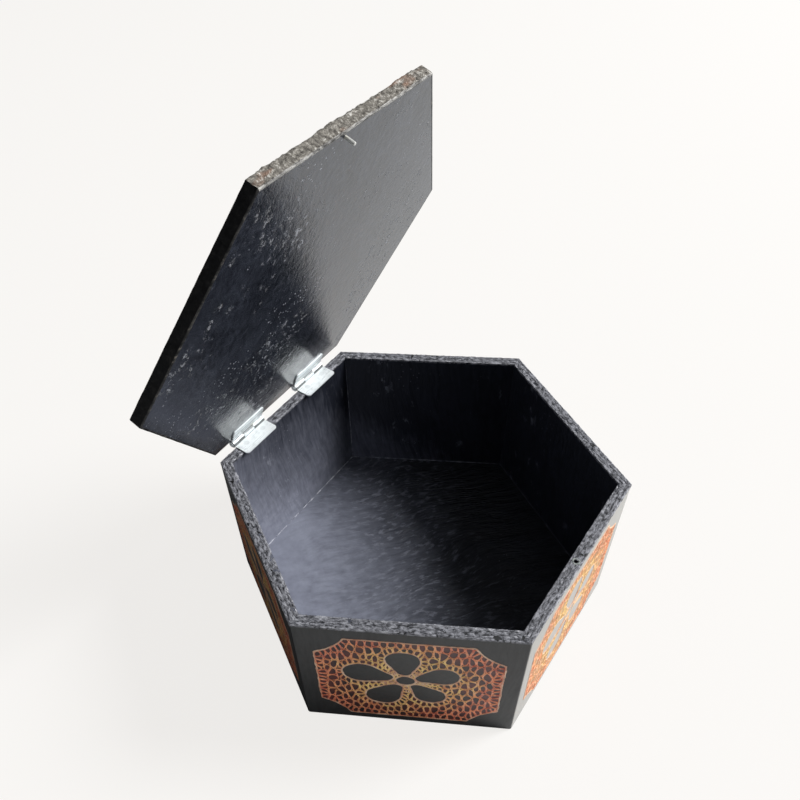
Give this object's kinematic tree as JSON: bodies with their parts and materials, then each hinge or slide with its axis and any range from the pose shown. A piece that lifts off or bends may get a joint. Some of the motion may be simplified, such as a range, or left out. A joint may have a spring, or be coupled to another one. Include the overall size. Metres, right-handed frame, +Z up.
{
  "type": "hinged trinket box",
  "caption": "Hexagonal black lacquered wooden box with inlaid floral mosaic panels and a flat hinged lid held shut by a small pin.",
  "frame": {"origin": "centre of the underside, on the surface the box stands on", "axes": "+Z up, -Y towards the latch wall, +Y towards the hinge wall; the lid rests open 70 degrees"},
  "size_m": [0.1596, 0.1446, 0.2046],
  "materials": {
    "lacquered_wood": "semi-gloss black paint over board, brush marked, worn at the edges",
    "inlay_mosaic": "dark maroon ground with raised copper and gold cell outlines",
    "inlay_flower": "satin black",
    "hinge_metal": "zinc plated, slightly worn",
    "nail_metal": "dull plated",
    "latch_metal": "plain wire"
  },
  "bodies": {
    "box": {"front_wall": "lacquered_wood", "front_ornament": "inlay_mosaic", "front_flower": "inlay_flower", "front_right_wall": "lacquered_wood", "front_right_ornament": "inlay_mosaic", "front_right_flower": "inlay_flower", "back_right_wall": "lacquered_wood", "back_right_ornament": "inlay_mosaic", "back_right_flower": "inlay_flower", "back_wall": "lacquered_wood", "back_ornament": "inlay_mosaic", "back_flower": "inlay_flower", "back_left_wall": "lacquered_wood", "back_left_ornament": "inlay_mosaic", "back_left_flower": "inlay_flower", "front_left_wall": "lacquered_wood", "front_left_ornament": "inlay_mosaic", "front_left_flower": "inlay_flower", "floor_panel": "lacquered_wood", "left_hinge_box_leaf": "hinge_metal", "left_hinge_pin": "hinge_metal", "left_hinge_box_nails": "nail_metal", "right_hinge_box_leaf": "hinge_metal", "right_hinge_pin": "hinge_metal", "right_hinge_box_nails": "nail_metal"},
    "lid": {"lid_panel": "lacquered_wood", "lid_ornament": "inlay_mosaic", "lid_flower": "inlay_flower", "latch_pin": "latch_metal", "left_hinge_lid_leaf": "hinge_metal", "left_hinge_lid_nails": "nail_metal", "right_hinge_lid_leaf": "hinge_metal", "right_hinge_lid_nails": "nail_metal"}
  },
  "joints": [
    {"name": "lid_hinge", "type": "hinge", "parent": "box", "child": "lid", "pos_m": [0, 0.07128, 0.0709], "axis": [-1, 0, 0], "range_deg": [-70, 110]}
  ]
}
